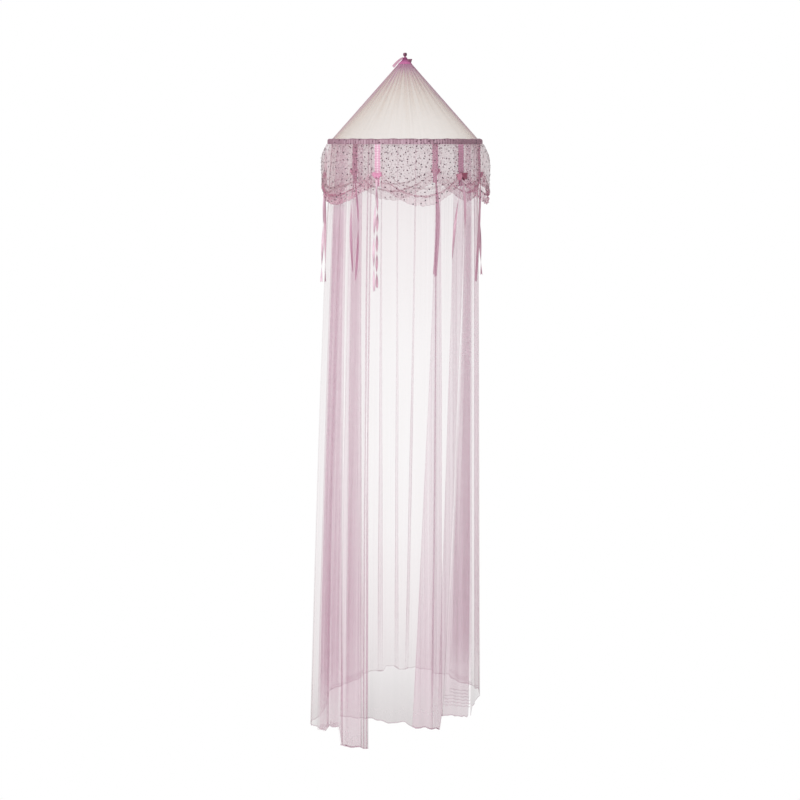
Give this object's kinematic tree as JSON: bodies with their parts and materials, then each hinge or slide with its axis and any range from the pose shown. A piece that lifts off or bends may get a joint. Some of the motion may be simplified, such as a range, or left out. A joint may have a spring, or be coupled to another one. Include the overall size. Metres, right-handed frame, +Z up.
{
  "type": "bed crown canopy",
  "caption": "Hanging net bed canopy: a pleated cone on a hoop, a swagged valance tied up with bows, and full-length sheer curtains that lap at the front.",
  "frame": {"origin": "where the hook bears, at the top of the hanging loop's eye", "axes": "+Z up along the crown's axis, -Y towards the front, where the curtain laps just left of the middle, +X to the right seen from the front"},
  "size_m": [0.7457, 0.7426, 2.7502],
  "materials": {
    "net": "sheer knitted net, pale pink",
    "cone_net": "sheer knitted net, drawn tight, cream with a pink cast",
    "bound_net": "net gathered and bound, deep pink",
    "casing_net": "net folded several times, mauve",
    "glitter_net": "sheer net with small dark sequins and glitter",
    "satin": "pink satin ribbon",
    "deep_satin": "deep pink satin ribbon",
    "rod_plastic": "drawn glass-fibre rod, ivory",
    "sleeve_plastic": "moulded, satin"
  },
  "bodies": {
    "hanger": {"hanging_loop": "deep_satin"},
    "neck": {"loop_neck": "deep_satin"},
    "knot": {"loop_knot": "deep_satin"},
    "crown": {"apex_bow": "deep_satin", "apex_gather": "bound_net", "apex_tail": "satin", "cone_net": "cone_net", "hoop_rod_right": "rod_plastic", "hoop_rod_left": "rod_plastic", "hoop_sleeve_front": "sleeve_plastic", "hoop_sleeve_back": "sleeve_plastic", "hoop_casing": "casing_net", "gather_strap_1": "satin", "valance_swag_1": "glitter_net", "bow_1": "satin", "gather_strap_2": "satin", "valance_swag_2": "glitter_net", "bow_2": "satin", "gather_strap_3": "satin", "valance_swag_3": "glitter_net", "bow_3": "satin", "gather_strap_4": "satin", "valance_swag_4": "glitter_net", "bow_4": "satin", "gather_strap_5": "satin", "valance_swag_5": "glitter_net", "bow_5": "satin", "gather_strap_6": "satin", "valance_swag_6": "glitter_net", "bow_6": "satin", "curtain_front_left": "net", "curtain_back_left": "net", "curtain_back_right": "net", "curtain_front_right": "net"},
    "ribbons_1": {"ribbon_tail_left_1": "satin", "ribbon_tail_right_1": "satin"},
    "ribbons_2": {"ribbon_tail_left_2": "satin", "ribbon_tail_right_2": "satin"},
    "ribbons_3": {"ribbon_tail_left_3": "satin", "ribbon_tail_right_3": "satin"},
    "ribbons_4": {"ribbon_tail_left_4": "satin", "ribbon_tail_right_4": "satin"},
    "ribbons_5": {"ribbon_tail_left_5": "satin", "ribbon_tail_right_5": "satin"},
    "ribbons_6": {"ribbon_tail_left_6": "satin", "ribbon_tail_right_6": "satin"}
  },
  "joints": [
    {"name": "crown_turn", "type": "hinge", "parent": "hanger", "child": "neck", "pos_m": [0, 0, -0.0138], "axis": [0, 0, 1], "range_deg": [-180, 180], "stiffness_Nm_per_rad": 0.02},
    {"name": "crown_sway_front", "type": "hinge", "parent": "neck", "child": "knot", "pos_m": [0, 0, -0.027], "axis": [1, 0, 0], "range_deg": [-10, 10]},
    {"name": "crown_sway_side", "type": "hinge", "parent": "knot", "child": "crown", "pos_m": [0, 0, -0.027], "axis": [0, 1, 0], "range_deg": [-10, 10]},
    {"name": "ribbon_swing_1", "type": "hinge", "parent": "crown", "child": "ribbons_1", "pos_m": [-0.10748, -0.30152, -0.48845], "axis": [-0.9419, 0.3358, 0], "range_deg": [0, 60]},
    {"name": "ribbon_swing_2", "type": "hinge", "parent": "crown", "child": "ribbons_2", "pos_m": [0.21839, -0.23403, -0.48845], "axis": [-0.7311, -0.6823, 0], "range_deg": [0, 60]},
    {"name": "ribbon_swing_3", "type": "hinge", "parent": "crown", "child": "ribbons_3", "pos_m": [0.30711, 0.09027, -0.48845], "axis": [0.282, -0.9594, 0], "range_deg": [0, 60]},
    {"name": "ribbon_swing_4", "type": "hinge", "parent": "crown", "child": "ribbons_4", "pos_m": [0.12897, 0.29297, -0.48845], "axis": [0.9152, -0.4029, 0], "range_deg": [0, 60]},
    {"name": "ribbon_swing_5", "type": "hinge", "parent": "crown", "child": "ribbons_5", "pos_m": [-0.21017, 0.24144, -0.48845], "axis": [0.7543, 0.6566, 0], "range_deg": [0, 60]},
    {"name": "ribbon_swing_6", "type": "hinge", "parent": "crown", "child": "ribbons_6", "pos_m": [-0.31991, -0.01106, -0.48845], "axis": [-0.0346, 0.9994, 0], "range_deg": [0, 60]}
  ]
}
